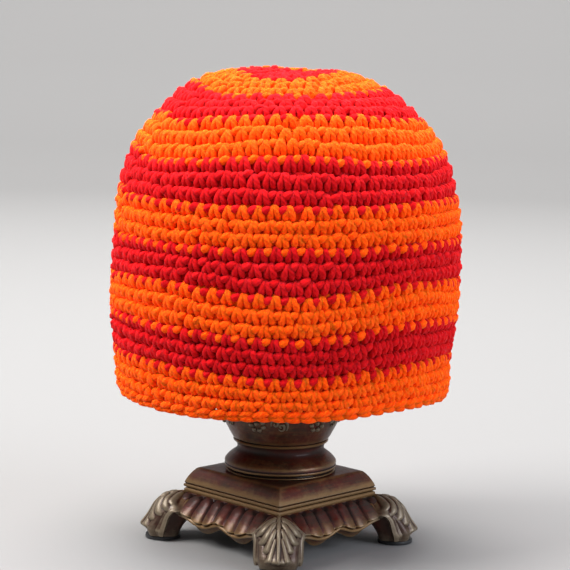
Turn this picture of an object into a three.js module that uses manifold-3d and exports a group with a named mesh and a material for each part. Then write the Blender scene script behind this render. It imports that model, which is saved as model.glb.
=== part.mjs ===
import * as THREE from 'three';
import { mergeVertices } from 'three/addons/utils/BufferGeometryUtils.js';
import Module from 'manifold-3d';

// A crocheted beanie in striped yarn on the pedestal stand that holds it.
// Millimetres. The origin is on the floor on the hat's axis, -Y is the front, +Z is up.
// An azimuth is measured from the front towards +X. A round is one row of stitches, counted
// from the top of the crown down to the rim.

// Driving sizes of the hat
const hatRadius = 87.5;
const hatHeight = 160.6;
const rimHeight = 78.7;
const wall = 5.5;
const grooveDepth = 1.8;
const roundPitch = 7.2;
const crownDent = 3;
const crownDentRadius = 12;
const pieceGap = 0.35;
const hatSides = 36;
const crownRounds = 9;

// Driving sizes of the stand
const plateHalfDiagonal = 49.2;
const plateEdgeHeight = 29.2;
const plateThickness = 5.7;
const plateRise = 7.7;
const skirtFlare = 7.8;
const skirtFloor = 13.5;
const skirtFloorShare = 0.9;
const ribsPerSide = 10;
const stepsPerRib = 3;
const ribRelief = 1.5;
const footReach = 70.5;
const leafWidth = 24;
const leafBevel = 2.4;
const heelWidth = 15;
const padRadius = 9;
const padThickness = 2;
const padInset = 2.1;
const padSides = 20;
const stemHeight = 36.8;
const cupRadius = 32;
const stemSides = 30;
const postRadius = 9;
const domeEdge = 3.5;

// The hat's outer form. Lengths are shares of the hat's radius, or of its height for height.
// front, back, left and right lift the surface there: left and right between the front and that
// side. lean tips the round towards a side, and shift moves it sideways.
const hatRowColumns = [
  'round', 'radius', 'height', 'front', 'back', 'left', 'right', 'lean', 'shift',
];
const hatRows = [
  [0, 0, 0.99, 0, 0, 0, 0, 0, 0],
  [3, 0.285, 0.9999, -0.0209, 0.0089, -0.007, 0.003, 0.0008, -0.0008],
  [6, 0.5493, 0.9558, -0.0197, 0.006, -0.0135, 0.0036, -0.0049, 0.0029],
  [9, 0.7588, 0.8592, 0.0222, 0, -0.009, 0.0011, -0.0003, 0.0035],
  [12, 0.892, 0.7592, 0.0031, 0, -0.0198, -0.0118, -0.0009, 0.0086],
  [15, 0.9678, 0.6234, -0.0025, 0, -0.003, 0.0002, -0.0032, 0.0118],
  [18, 0.9912, 0.5023, -0.0063, 0, 0.0017, 0.0057, -0.0006, 0.015],
  [21, 1.0005, 0.3682, -0.0063, 0, 0.0152, 0.0291, -0.0076, 0.0085],
  [24, 0.9975, 0.2545, -0.0189, 0, 0.0123, 0.0292, -0.0059, 0.0021],
  [27, 0.9722, 0.1366, -0.0199, 0, 0.0046, 0.0221, -0.0101, -0.0029],
  [30, 0.9595, 0.0267, -0.004, 0, -0.007, 0.0149, -0.006, 0.003],
  [31, 0.9515, 0, -0.0033, 0, -0.0085, 0.0144, -0.0065, 0.002],
];
// The dent in the crown, as shares of the hat's radius.
const dentPlace = { x: 0.092, y: 0.161 };

// The stripes from the top down: name, first round, last round and yarn.
const stripes = [
  ['crown_center', 1, 3, 'red'],
  ['crown_ring_orange', 4, 6, 'orange'],
  ['crown_ring_red', 7, 9, 'red'],
  ['band_orange_1', 10, 12, 'orange'],
  ['band_red_1', 13, 15, 'red'],
  ['band_orange_2', 16, 18, 'orange'],
  ['band_red_2', 19, 21, 'red'],
  ['band_orange_3', 22, 24, 'orange'],
  ['band_red_3', 25, 27, 'red'],
  ['band_orange_4', 28, 30, 'orange'],
  ['rim_edging', 31, 31, 'orange'],
];

// The dome under the crown ends at this round.
const domeLastRound = 4.5;

// The plate's moulding, from its underside to its top. out is a share of the half diagonal,
// and up a share of the plate's thickness or, above the edge, of its rise.
const plateEdgeRows = [
  [0.965, 0],
  [0.985, 0.12],
  [0.985, 0.3],
  [0.965, 0.36],
  [0.992, 0.5],
  [1.0, 0.66],
  [1.0, 1.0],
];
const plateTopRows = [
  [0.976, 0.25],
  [0.949, 0.44],
  [0.913, 0.64],
  [0.876, 0.84],
  [0.846, 0.97],
  [0.55, 1.0],
];

// The skirt from its hem to its top. out is a share of the flare beyond the plate, up a share
// of the height between the hem and the plate, and rib a share of the rib relief.
const skirtRows = [
  [0.62, -0.05, 0],
  [1.0, 0, 0.4],
  [0.9, 0.12, 0.8],
  [0.5, 0.42, 1.0],
  [0.1, 0.8, 1.0],
  [-0.2, 1.1, 0],
];
// The wavy hem: place along half of a side, and height as a share of the plate's edge height.
const hemRows = [
  [0, 0.41],
  [0.15, 0.33],
  [0.35, 0.25],
  [0.5, 0.3],
  [0.65, 0.44],
  [1.0, 0.53],
];

// A foot seen from its side. out is a share of the reach and up a share of the height from
// the foot's sole to the plate's edge. The leaf has the arch's outer line, and the narrower
// heel behind it the inner one.
const footTopRows = [
  [0.6, 0.8],
  [0.72, 0.79],
  [0.785, 0.772],
  [0.835, 0.73],
  [0.87, 0.66],
  [0.903, 0.56],
  [0.925, 0.46],
  [0.95, 0.35],
  [0.975, 0.26],
  [1.0, 0.165],
];
const footToeRows = [
  [0.985, 0.09],
  [0.955, 0.0],
];
const leafArchRows = [
  [0.854, 0.0],
  [0.843, 0.19],
  [0.827, 0.355],
  [0.799, 0.478],
  [0.756, 0.542],
  [0.709, 0.508],
  [0.6, 0.42],
];
const heelTopRows = [
  [0.68, 0.56],
  [0.79, 0.56],
  [0.89, 0.3],
  [0.89, 0.0],
];
const heelArchRows = [
  [0.724, 0.0],
  [0.715, 0.16],
  [0.69, 0.33],
  [0.655, 0.46],
];

// The turned stem. radius is a share of the cup's radius, up a share of the stem's height.
const stemRows = [
  [0, 0],
  [0.856, 0],
  [0.856, 0.03],
  [0.825, 0.042],
  [0.875, 0.129],
  [0.853, 0.164],
  [0.81, 0.183],
  [0.755, 0.218],
  [0.703, 0.262],
  [0.681, 0.3],
  [0.697, 0.341],
  [0.764, 0.41],
  [0.764, 0.435],
  [0.778, 0.469],
  [0.834, 0.553],
  [0.881, 0.637],
  [0.925, 0.727],
  [0.966, 0.835],
  [1.0, 0.95],
  [0.975, 1.0],
  [0, 1.0],
];

const yarnColors = { red: 0xc8101e, orange: 0xff7a08 };

// Sizes that follow from the driving ones
const gapRounds = pieceGap / roundPitch;
const sole = padThickness + pieceGap;
const plateUnderside = plateEdgeHeight - plateThickness;
const plateTop = plateEdgeHeight + plateRise;
const stemFoot = plateTop + pieceGap;
const cupTop = stemFoot + stemHeight;
const skirtHemApothem = plateHalfDiagonal / Math.SQRT2 + skirtFlare;
const padReach = footReach - padRadius - padInset;
const rimRound = hatRows[hatRows.length - 1][0];

const wasm = await Module();
wasm.setup();

function rowCurve(rows) {
  const places = rows.map((row) => row[0]);
  const values = rows.flatMap((row) => row.slice(1));
  return new THREE.CubicInterpolant(places, values, rows[0].length - 1);
}

const hatCurve = rowCurve(hatRows);
const hemCurve = rowCurve(hemRows);

function hatRow(round) {
  const values = hatCurve.evaluate(round);
  const names = hatRowColumns.slice(1);
  return Object.fromEntries(names.map((name, index) => [name, values[index]]));
}

// A point on the outer form, before the grooves between rounds.
function hatPoint(round, azimuth) {
  const row = hatRow(round);
  const radius = row.radius * hatRadius;
  const x = radius * Math.sin(azimuth) + row.shift * hatRadius;
  const y = -radius * Math.cos(azimuth);
  const forward = Math.cos(azimuth);
  const sideways = Math.sin(azimuth);
  const front = row.front * Math.max(0, forward) ** 2;
  const back = row.back * Math.max(0, -forward) ** 2;
  const diagonal = (sideways < 0 ? row.left : row.right) * Math.sin(2 * azimuth) ** 2;
  const lift = front + back + (forward > 0 ? diagonal : 0) + row.lean * sideways;
  const dentX = x - dentPlace.x * hatRadius;
  const dentY = y - dentPlace.y * hatRadius;
  const dent = crownDent * Math.exp(-(dentX ** 2 + dentY ** 2) / crownDentRadius ** 2);
  return new THREE.Vector3(x, y, rimHeight + (row.height + lift) * hatHeight - dent);
}

function hatNormal(round, azimuth) {
  const place = Math.max(round, 0.05);
  const step = 0.02;
  const lower = hatPoint(place + step, azimuth);
  const down = lower.sub(hatPoint(place - step, azimuth));
  const along = hatPoint(place, azimuth + step).sub(hatPoint(place, azimuth - step));
  return down.cross(along).normalize();
}

// One ring of points round the hat at a depth under its outer form.
function hatRing(round, depth) {
  if (round === 0) {
    return [hatPoint(0, 0).add(new THREE.Vector3(0, 0, -depth))];
  }
  return Array.from({ length: hatSides }, (_, index) => {
    const azimuth = (index / hatSides) * 2 * Math.PI;
    const point = hatPoint(round, azimuth);
    return point.addScaledVector(hatNormal(round, azimuth), -depth);
  });
}

// A closed skin through rings of points. A ring of one point closes an end, and a looped skin
// joins its last ring to its first.
function skin(rings, looped) {
  const positions = [];
  const starts = [];
  for (const ring of rings) {
    starts.push(positions.length / 3);
    for (const point of ring) {
      positions.push(point.x, point.y, point.z);
    }
  }
  const faces = [];
  const spans = looped ? rings.length : rings.length - 1;
  for (let span = 0; span < spans; span += 1) {
    const other = (span + 1) % rings.length;
    const sides = Math.max(rings[span].length, rings[other].length);
    for (let side = 0; side < sides; side += 1) {
      const next = (side + 1) % sides;
      const a = starts[span] + (side % rings[span].length);
      const b = starts[span] + (next % rings[span].length);
      const c = starts[other] + (next % rings[other].length);
      const d = starts[other] + (side % rings[other].length);
      if (a !== b) {
        faces.push(a, b, c);
      }
      if (c !== d) {
        faces.push(a, c, d);
      }
    }
  }
  const geometry = new THREE.BufferGeometry();
  geometry.setAttribute('position', new THREE.Float32BufferAttribute(positions, 3));
  geometry.setIndex(signedVolume(positions, faces) < 0 ? faces.reverse() : faces);
  geometry.computeVertexNormals();
  return geometry;
}

function signedVolume(positions, faces) {
  const corner = (face) => new THREE.Vector3().fromArray(positions, faces[face] * 3);
  let total = 0;
  for (let face = 0; face < faces.length; face += 3) {
    total += corner(face).dot(corner(face + 1).cross(corner(face + 2))) / 6;
  }
  return total;
}

// Joins closed geometries into one body.
function fuse(geometries) {
  const solids = geometries.map((geometry) => {
    const bare = new THREE.BufferGeometry();
    bare.setAttribute('position', geometry.getAttribute('position'));
    bare.setIndex(geometry.getIndex());
    const merged = mergeVertices(bare, 1e-3);
    return new wasm.Manifold(new wasm.Mesh({
      numProp: 3,
      vertProperties: new Float32Array(merged.getAttribute('position').array),
      triVerts: new Uint32Array(merged.getIndex().array),
    }));
  });
  const mesh = solids.reduce((whole, solid) => whole.add(solid)).getMesh();
  const geometry = new THREE.BufferGeometry();
  geometry.setAttribute('position', new THREE.BufferAttribute(mesh.vertProperties, 3));
  geometry.setIndex(new THREE.BufferAttribute(mesh.triVerts, 1));
  geometry.computeVertexNormals();
  return geometry;
}

// The rounds of a stripe, each with a groove at its ends and a crest in the middle.
function stripeGeometry(first, last) {
  const top = first === 1 ? 0 : first - 1 + gapRounds / 2;
  const bottom = last === rimRound ? last : last - gapRounds / 2;
  const rings = [hatRing(top, grooveDepth)];
  for (let round = first; round <= last; round += 1) {
    rings.push(hatRing(round - 0.5, 0));
    rings.push(hatRing(round === last ? bottom : round, grooveDepth));
  }
  rings.push(hatRing(bottom, wall));
  if (last <= crownRounds) {
    rings.push(hatRing((top + bottom) / 2, wall));
  }
  rings.push(hatRing(top, wall));
  return skin(rings, first > 1);
}

// The dome follows the inner face of the crown, and its post stands on the cup.
function restGeometry() {
  const depth = wall + pieceGap;
  const seam = stripes[0][2];
  const above = seam - gapRounds / 2;
  const below = seam + gapRounds / 2;
  const rounds = [0, above / 2, above, below, domeLastRound];
  const rings = rounds.map((round) => hatRing(round, depth));
  const edge = rings[rings.length - 1];
  const lowest = Math.min(...edge.map((point) => point.z)) - domeEdge;
  const level = (scale, height) => edge.map((point) => {
    return new THREE.Vector3(point.x * scale, point.y * scale, height);
  });
  const edgeRadius = hatRow(domeLastRound).radius * hatRadius;
  const neck = postRadius / edgeRadius;
  rings.push(level(1, lowest));
  rings.push(level(neck, lowest - edgeRadius * (1 - neck)));
  rings.push(level(neck, cupTop + pieceGap));
  rings.push([new THREE.Vector3(0, 0, cupTop + pieceGap)]);
  return skin(rings, false);
}

// A ring round a square with its corners on the X and Y axes. Each of its sides is divided
// evenly, and place runs from -1 to 1 along a side.
function squareRing(apothem, divisions, relief, height) {
  const ring = [];
  for (let side = 0; side < 4; side += 1) {
    const facing = ((side + 0.5) * Math.PI) / 2;
    for (let step = 0; step < divisions; step += 1) {
      const place = -1 + (2 * step) / divisions;
      const out = apothem + relief(place);
      const along = apothem * place;
      ring.push(new THREE.Vector3(
        out * Math.sin(facing) + along * Math.cos(facing),
        -out * Math.cos(facing) + along * Math.sin(facing),
        height(place),
      ));
    }
  }
  return ring;
}

function plateGeometry() {
  const none = () => 0;
  const ring = (share, height) => {
    return squareRing((plateHalfDiagonal * share) / Math.SQRT2, 1, none, () => height);
  };
  const rings = [[new THREE.Vector3(0, 0, plateUnderside)]];
  for (const [out, up] of plateEdgeRows) {
    rings.push(ring(out, plateUnderside + up * plateThickness));
  }
  for (const [out, up] of plateTopRows) {
    rings.push(ring(out, plateEdgeHeight + up * plateRise));
  }
  rings.push([new THREE.Vector3(0, 0, plateTop)]);
  return skin(rings, false);
}

function skirtGeometry() {
  const divisions = ribsPerSide * stepsPerRib;
  const plateApothem = plateHalfDiagonal / Math.SQRT2;
  const hem = (place) => hemCurve.evaluate(Math.abs(place))[0] * plateEdgeHeight;
  const rib = (place) => Math.abs(Math.sin(((place + 1) / 2) * ribsPerSide * Math.PI));
  const rings = [[new THREE.Vector3(0, 0, skirtFloor)]];
  rings.push(squareRing(plateApothem * skirtFloorShare, divisions, () => 0, () => skirtFloor));
  for (const [out, up, relief] of skirtRows) {
    rings.push(squareRing(
      THREE.MathUtils.lerp(plateApothem, skirtHemApothem, out),
      divisions,
      (place) => rib(place) * ribRelief * relief,
      (place) => THREE.MathUtils.lerp(hem(place), plateUnderside, up),
    ));
  }
  rings.push([new THREE.Vector3(0, 0, plateUnderside + plateThickness / 2)]);
  return skin(rings, false);
}

// A side outline of a foot, extruded across its width and turned to face outwards.
function footSlab(outline, width, bevel, azimuth) {
  const geometry = new THREE.ExtrudeGeometry(new THREE.Shape(outline), {
    depth: width - 2 * bevel,
    steps: 1,
    bevelEnabled: bevel > 0,
    bevelThickness: bevel,
    bevelSize: bevel / 2,
    bevelOffset: -bevel / 2,
    bevelSegments: 1,
  });
  geometry.translate(0, 0, bevel - width / 2);
  geometry.rotateX(Math.PI / 2);
  geometry.rotateZ(azimuth - Math.PI / 2);
  return geometry;
}

// A foot is a broad leaf, bent over an arch, with a narrower heel inside it.
function footGeometries(azimuth) {
  const place = ([out, up]) => {
    return new THREE.Vector2(out * footReach, sole + up * (plateEdgeHeight - sole));
  };
  const top = new THREE.SplineCurve(footTopRows.map(place)).getPoints(8);
  const arch = new THREE.SplineCurve(leafArchRows.map(place)).getPoints(6);
  const leaf = [...top, ...footToeRows.map(place), ...arch].reverse();
  const heel = [...heelTopRows, ...heelArchRows].map(place).reverse();
  return [footSlab(leaf, leafWidth, leafBevel, azimuth), footSlab(heel, heelWidth, 0, azimuth)];
}

function baseGeometry() {
  const feet = [0, 1, 2, 3].flatMap((quarter) => footGeometries((quarter * Math.PI) / 2));
  return fuse([plateGeometry(), skirtGeometry(), ...feet]);
}

function stemGeometry() {
  const profile = stemRows.map(([radius, up]) => {
    return new THREE.Vector2(radius * cupRadius, stemFoot + up * stemHeight);
  });
  const geometry = new THREE.LatheGeometry(profile, stemSides);
  geometry.rotateX(Math.PI / 2);
  return geometry;
}

function padGeometry() {
  const geometry = new THREE.CylinderGeometry(padRadius, padRadius, padThickness, padSides);
  geometry.rotateX(Math.PI / 2);
  return geometry;
}

function named(name, geometry, material) {
  const mesh = new THREE.Mesh(geometry, material);
  mesh.name = name;
  return mesh;
}

const bronze = new THREE.MeshStandardMaterial({ color: 0x3a2218, roughness: 0.35, metalness: 0.6 });
const rubber = new THREE.MeshStandardMaterial({ color: 0x0c0c0c, roughness: 0.7, metalness: 0 });
const wood = new THREE.MeshStandardMaterial({ color: 0x6b4a30, roughness: 0.6, metalness: 0 });

const hat = new THREE.Group();
for (const [name, first, last, yarn] of stripes) {
  const material = new THREE.MeshStandardMaterial({ color: yarnColors[yarn], roughness: 0.9, metalness: 0 });
  hat.add(named(name, stripeGeometry(first, last), material));
}

const stand = new THREE.Group();
stand.add(named('stand_base', baseGeometry(), bronze));
stand.add(named('stand_stem', stemGeometry(), bronze.clone()));
stand.add(named('hat_rest', restGeometry(), wood));
['front', 'right', 'back', 'left'].forEach((place, quarter) => {
  const azimuth = (quarter * Math.PI) / 2;
  const pad = named(`foot_pad_${place}`, padGeometry(), rubber.clone());
  pad.position.set(
    padReach * Math.sin(azimuth),
    -padReach * Math.cos(azimuth),
    padThickness / 2,
  );
  stand.add(pad);
});

const group = new THREE.Group();
group.add(hat);
group.add(stand);

export default group;
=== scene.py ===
"""A striped crochet hat on its pedestal stand, dressed over the packed frame."""

import math

import bpy
import numpy as np
from bpy.props import FloatProperty, FloatVectorProperty, IntProperty, PointerProperty
from mathutils import Matrix, Vector


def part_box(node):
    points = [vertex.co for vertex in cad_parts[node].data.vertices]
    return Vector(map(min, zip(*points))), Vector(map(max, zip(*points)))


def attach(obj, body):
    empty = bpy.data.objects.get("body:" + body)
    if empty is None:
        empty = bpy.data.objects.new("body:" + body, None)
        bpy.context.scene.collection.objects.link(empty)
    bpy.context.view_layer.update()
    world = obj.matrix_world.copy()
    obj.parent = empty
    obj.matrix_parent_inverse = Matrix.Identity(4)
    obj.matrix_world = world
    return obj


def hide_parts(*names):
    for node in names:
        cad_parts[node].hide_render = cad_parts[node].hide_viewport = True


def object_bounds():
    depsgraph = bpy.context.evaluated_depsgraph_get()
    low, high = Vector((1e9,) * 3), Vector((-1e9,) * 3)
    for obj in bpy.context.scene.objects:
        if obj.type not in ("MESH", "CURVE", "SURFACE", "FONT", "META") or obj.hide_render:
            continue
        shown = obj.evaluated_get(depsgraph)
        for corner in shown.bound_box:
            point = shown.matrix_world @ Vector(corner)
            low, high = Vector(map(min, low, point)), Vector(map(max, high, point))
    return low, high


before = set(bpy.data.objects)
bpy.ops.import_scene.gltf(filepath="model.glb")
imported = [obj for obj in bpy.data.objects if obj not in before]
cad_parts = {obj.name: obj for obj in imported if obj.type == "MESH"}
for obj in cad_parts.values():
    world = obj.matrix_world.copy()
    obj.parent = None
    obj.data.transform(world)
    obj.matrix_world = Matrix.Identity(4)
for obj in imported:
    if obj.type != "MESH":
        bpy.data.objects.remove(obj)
CAD_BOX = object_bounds()
STEM_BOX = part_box("stand_stem")
PAD_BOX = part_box("foot_pad_right")

bl_info = {
    "name": "Crochet Hat on a Stand",
    "version": (1, 0, 0),
    "blender": (4, 5, 0),
    "location": "3D View > Sidebar > Hat",
    "description": "Makes a striped crochet hat, its pedestal stand and a plain studio",
    "category": "Add Mesh",
}

MM = 0.001

# The hat's outer form, from the middle of the crown to the rim. Lengths are shares of the
# hat's radius, or of its height for height. front, back, left and right lift the surface there:
# left and right between the front and that side. lean tips the round towards a side, and shift
# moves it sideways.
FORM_ROWS = np.array([
    # round, radius, height, front, back, left, right, lean, shift
    (0, 0, 0.99, 0, 0, 0, 0, 0, 0),
    (3, 0.285, 0.9999, -0.0209, 0.0089, -0.007, 0.003, 0.0008, -0.0008),
    (6, 0.5493, 0.9558, -0.0197, 0.006, -0.0135, 0.0036, -0.0049, 0.0029),
    (9, 0.7588, 0.8592, 0.0222, 0, -0.009, 0.0011, -0.0003, 0.0035),
    (12, 0.892, 0.7592, 0.0031, 0, -0.0198, -0.0118, -0.0009, 0.0086),
    (15, 0.9678, 0.6234, -0.0025, 0, -0.003, 0.0002, -0.0032, 0.0118),
    (18, 0.9912, 0.5023, -0.0063, 0, 0.0017, 0.0057, -0.0006, 0.015),
    (21, 1.0005, 0.3682, -0.0063, 0, 0.0152, 0.0291, -0.0076, 0.0085),
    (24, 0.9975, 0.2545, -0.0189, 0, 0.0123, 0.0292, -0.0059, 0.0021),
    (27, 0.9722, 0.1366, -0.0199, 0, 0.0046, 0.0221, -0.0101, -0.0029),
    (30, 0.9595, 0.0267, -0.004, 0, -0.007, 0.0149, -0.006, 0.003),
    (31, 0.9515, 0, -0.0033, 0, -0.0085, 0.0144, -0.0065, 0.002),
])
# The soft dent in the crown, in shares of the hat's radius.
DENT_PLACE = (0.092, 0.161)
DENT_RADIUS = 0.137

# The stripes' nodes from the top down, red and orange in turn, and how many rounds each has.
STRIPES = (
    "crown_center", "crown_ring_orange", "crown_ring_red", "band_orange_1", "band_red_1",
    "band_orange_2", "band_red_2", "band_orange_3", "band_red_3", "band_orange_4",
)
STRIPE_ROUNDS = 3
LAST_ROUND = STRIPE_ROUNDS * len(STRIPES)

# The strands of one stitch: stitch widths to the right of its middle, rounds below its top,
# and millimetres out from the hat's form.
LEFT_LEG = (
    (0.10, 0.12, -4.2), (0.02, 0.09, -2.3), (-0.08, 0.26, -1.65),
    (-0.16, 0.52, -1.5), (-0.21, 0.77, -2.2), (-0.20, 0.93, -4.2),
)
RIGHT_LEG = (
    (-0.05, 0.14, -4.2), (0.05, 0.10, -2.0), (0.14, 0.27, -1.35),
    (0.22, 0.52, -1.4), (0.28, 0.77, -2.2), (0.28, 0.93, -4.2),
)
# The front loop of the round above, between the tops of two stitches.
FRONT_LOOP = (
    (0.24, 0.32, -4.0), (0.35, 0.32, -2.3), (0.47, 0.27, -1.35),
    (0.60, 0.21, -1.35), (0.72, 0.13, -2.4), (0.83, 0.08, -4.2),
)
# Two strands of the stitch's wrong side, inside the hat.
INNER_BAR = ((-0.55, 0.12, -4.4), (-0.2, 0.02, -4.1), (0.2, 0.02, -4.1), (0.55, 0.14, -4.4))
INNER_LEG = ((-0.2, 0.1, -3.9), (-0.05, 0.4, -4.1), (0.12, 0.7, -4.1), (0.25, 0.95, -3.9))
# The two outer strands of one chain link at the rim, and the one inside.
RIM_UPPER = (
    (-0.66, 0.56, -3.9), (-0.44, 0.45, -2.3), (-0.05, 0.24, -1.2),
    (0.36, 0.06, -1.7), (0.68, 0.0, -3.9),
)
RIM_LOWER = (
    (-0.66, 0.5, -3.9), (-0.42, 0.62, -2.4), (0.0, 0.80, -1.7),
    (0.40, 0.88, -2.3), (0.72, 0.84, -3.9),
)
RIM_INNER = ((-0.6, 0.5, -4.3), (-0.2, 0.66, -4.1), (0.2, 0.66, -4.1), (0.6, 0.5, -4.3))
# How much thicker a strand is in its middle than at its ends, as a share.
STRAND_SWELL = 0.12
LOOP_SWELL = 0.26
# How far a strand strays in or out, in millimetres, its range of thickness, and millimetres
# along it by which its twist may start late.
DEPTH_STRAY = 0.18
THICKNESS_RANGE = (0.93, 1.07)
TWIST_SHIFT = 7

# The seam's place at the crown's last round, measured from the front towards +X.
SEAM_AZIMUTH = math.radians(-65.7)
# Steps across which the form's directions are measured, in rounds and in radians.
ROUND_STEP = 0.02
AZIMUTH_STEP = 0.02
# How near the crown's middle a strand or the backing may come, in rounds.
INNERMOST_ROUND = 0.02
# How far up the stitches sit, in rounds, and the rounds over which that grows from the crown's
# middle and ends towards the rim.
STITCH_LIFT = 0.16
LIFT_START_ROUNDS = 5
LIFT_END_ROUNDS = 3
# The slow waves of a round: height in rounds, waves round the hat, and radians gained a round.
WAVES = ((0.06, 3, 0.9), (0.04, 7, -1.7))
# The rounds from the crown's middle over which the waves and the jog at the seam grow.
WAVE_START_ROUNDS = 9
JOG_START_ROUNDS = 6

# The backing that closes the gaps between strands, dark as painted shade, in millimetres out from
# the form.
BACKING_OUTER = -2.8
BACKING_INNER = -4.7
BACKING_SIDES = 72

# The plate's moulding, from its underside to its top: share of the half diagonal and height
# in millimetres over the plate's underside.
PLATE_ROWS = (
    (0.90, 0.0), (0.950, 0.0), (0.972, 0.15), (0.986, 0.55), (0.993, 1.1), (0.994, 1.7),
    (0.988, 2.25), (0.976, 2.6), (0.967, 2.75), (0.965, 2.95), (0.975, 3.1), (0.992, 3.2),
    (0.998, 3.5), (1.0, 3.9), (0.999, 4.3), (0.993, 4.6), (0.980, 4.75), (0.977, 4.95),
    (0.984, 5.15), (0.990, 5.5), (0.984, 6.1), (0.970, 7.2), (0.950, 8.6), (0.925, 10.1),
    (0.898, 11.4), (0.878, 12.2), (0.862, 12.75), (0.845, 13.1), (0.825, 13.25), (0.76, 13.3),
    (0.65, 13.4), (0.55, 13.4),
)
PLATE_CUTS = 23
# Where the plate's bevel starts, in millimetres over the plate's underside.
BEVEL_START = 6.2
# The panel under the base: share of the plate's half diagonal, and millimetres of thickness.
PANEL_SHARE = 0.93
PANEL_THICKNESS = 1.5

# The turned stem: share of the cup's radius, and share of the stem's height.
STEM_ROWS = (
    (0.868, 0.0), (0.874, 0.004), (0.872, 0.01), (0.85, 0.014), (0.832, 0.018), (0.828, 0.028),
    (0.836, 0.036), (0.862, 0.042), (0.882, 0.051), (0.889, 0.063), (0.886, 0.075), (0.883, 0.083),
    (0.889, 0.11), (0.884, 0.134), (0.866, 0.156), (0.838, 0.183), (0.80, 0.213), (0.759, 0.238),
    (0.722, 0.26), (0.70, 0.281), (0.689, 0.306), (0.689, 0.33), (0.697, 0.352), (0.712, 0.379),
    (0.728, 0.395), (0.75, 0.404), (0.758, 0.418), (0.75, 0.432), (0.735, 0.438), (0.737, 0.446),
    (0.757, 0.453), (0.775, 0.47), (0.795, 0.5), (0.829, 0.556), (0.856, 0.599), (0.879, 0.637),
    (0.904, 0.685), (0.926, 0.732), (0.948, 0.785), (0.966, 0.835), (0.98, 0.88), (0.992, 0.92),
    (1.0, 0.955), (0.995, 0.98), (0.975, 1.0),
)
STEM_SIDES = 96

# The relief round the cup, in like units. A berry and a scroll are each a line of points:
# millimetres to the right, and below the relief's top.
RELIEF_UNITS = 6
RELIEF_START = math.radians(-22)
RELIEF_TOP_SHARE = 0.83
BERRY_HALF = 1.25
BERRIES = tuple(
    ((x - BERRY_HALF, y + tilt), (x, y), (x + BERRY_HALF, y - tilt))
    for x, y, tilt in (
        (-4.4, 0.2, 0.3), (-1.2, -0.8, -0.2), (2.2, -1.0, 0.3), (-4.1, 3.0, -0.3), (-0.9, 2.2, 0.3),
        (2.5, 1.5, 0.2), (-2.7, 5.4, -0.3), (0.3, 5.5, 0.4), (2.6, 3.9, -0.4),
    )
)
SCROLLS = (
    ((-3.6, 3.0), (-3.2, 0.6), (-1.2, -0.2), (0.0, 1.4), (-0.9, 2.9), (-2.0, 2.3), (-1.6, 1.3)),
    ((0.2, 4.6), (1.8, 5.4), (3.2, 4.2), (2.8, 2.4), (1.3, 2.2), (0.9, 3.4), (1.8, 3.9)),
    ((1.2, 0.2), (2.6, -0.4), (4.4, 0.8), (4.9, 3.0), (4.4, 5.2)),
)
# Berries and scrolls: millimetres to the right, radius, millimetres out from the cup, swell and
# thickness of the ends.
RELIEF_KINDS = ((BERRIES, 0.0, 1.3, 0.1, 0.0, 0.3), (SCROLLS, 10.5, 0.5, 0.3, 0.3, 0.6))

# The wavy hem: place along half of a side, height of its lowest line and depth of the band
# under its bead, in millimetres.
HEM_ROWS = np.array([
    (0.0, 11.8, 2.5), (0.12, 10.0, 2.9), (0.24, 8.0, 3.5), (0.33, 7.2, 3.9), (0.42, 7.3, 4.0),
    (0.5, 8.4, 3.6), (0.62, 11.5, 1.9), (0.74, 13.2, 1.2), (0.86, 14.0, 1.0), (1.0, 14.2, 1.0),
])
# The skirt from its bead up to the plate: share of the flare and share of the height.
SKIRT_ROWS = np.array([
    (1.0, 0.0), (0.94, 0.08), (0.84, 0.2), (0.66, 0.38), (0.44, 0.56),
    (0.22, 0.74), (0.05, 0.9), (-0.08, 1.06),
])
RIBS_PER_SIDE = 9
COLUMNS_PER_RIB = 12
SKIRT_GRID_ROWS = 46
SKIRT_THICKNESS = 1.6
# How fast the skirt's columns fan out towards its corners.
FAN_POWER = 3
# The shares of a rib's length that its round head and tail take.
RIB_HEAD = 0.26
RIB_TAIL = 0.14
# The shares of the skirt's grid that the bead and the band under it take.
BEAD_SHARE = 0.14
BAND_SHARE = 0.16
# The bead, rolled from the wall: radius, rise over the band and inset in millimetres, and turn.
BEAD_RADIUS = 0.95
BEAD_RISE = 0.9
BEAD_INSET = 0.3
BEAD_TURN = 1.25 * math.pi
# The band under the bead, in millimetres: how far it tucks in, and more as a share of its
# depth, how much it is lengthened, and its least length.
BAND_TUCK = 1.2
BAND_TUCK_SHARE = 0.35
BAND_MORE = 0.4
BAND_LEAST = 0.2

# The outer line of a foot, from the plate's corner round the toe to the pad, as (distance,
# height).
FOOT_LINE = np.array([
    (46.0, 23.9), (49.0, 23.75), (52.0, 23.6), (55.3, 23.1), (58.9, 21.9), (61.3, 20.1),
    (63.7, 17.4), (65.2, 14.7), (67.0, 11.75), (68.7, 9.3), (70.2, 7.3), (70.5, 6.6),
    (69.6, 5.0), (68.3, 3.6), (67.4, 2.6),
])
# Across a foot's leaf: millimetres down the foot line, half width, and the distance and height
# of its side edges.
LEAF_ROWS = np.array([
    (0.0, 4.5, 45.0, 22.8), (3.0, 8.0, 47.0, 20.2), (6.0, 11.6, 49.6, 16.8),
    (9.35, 13.0, 52.6, 16.4), (13.15, 12.8, 55.0, 15.6), (16.15, 12.4, 56.3, 14.0),
    (19.75, 12.2, 57.2, 12.2), (22.85, 12.2, 57.8, 10.2), (26.3, 12.2, 58.3, 8.2),
    (29.3, 12.2, 58.8, 6.6), (32.2, 12.1, 59.2, 5.2), (34.4, 11.9, 59.4, 4.0),
    (37.7, 11.6, 59.6, 2.7),
])
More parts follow.
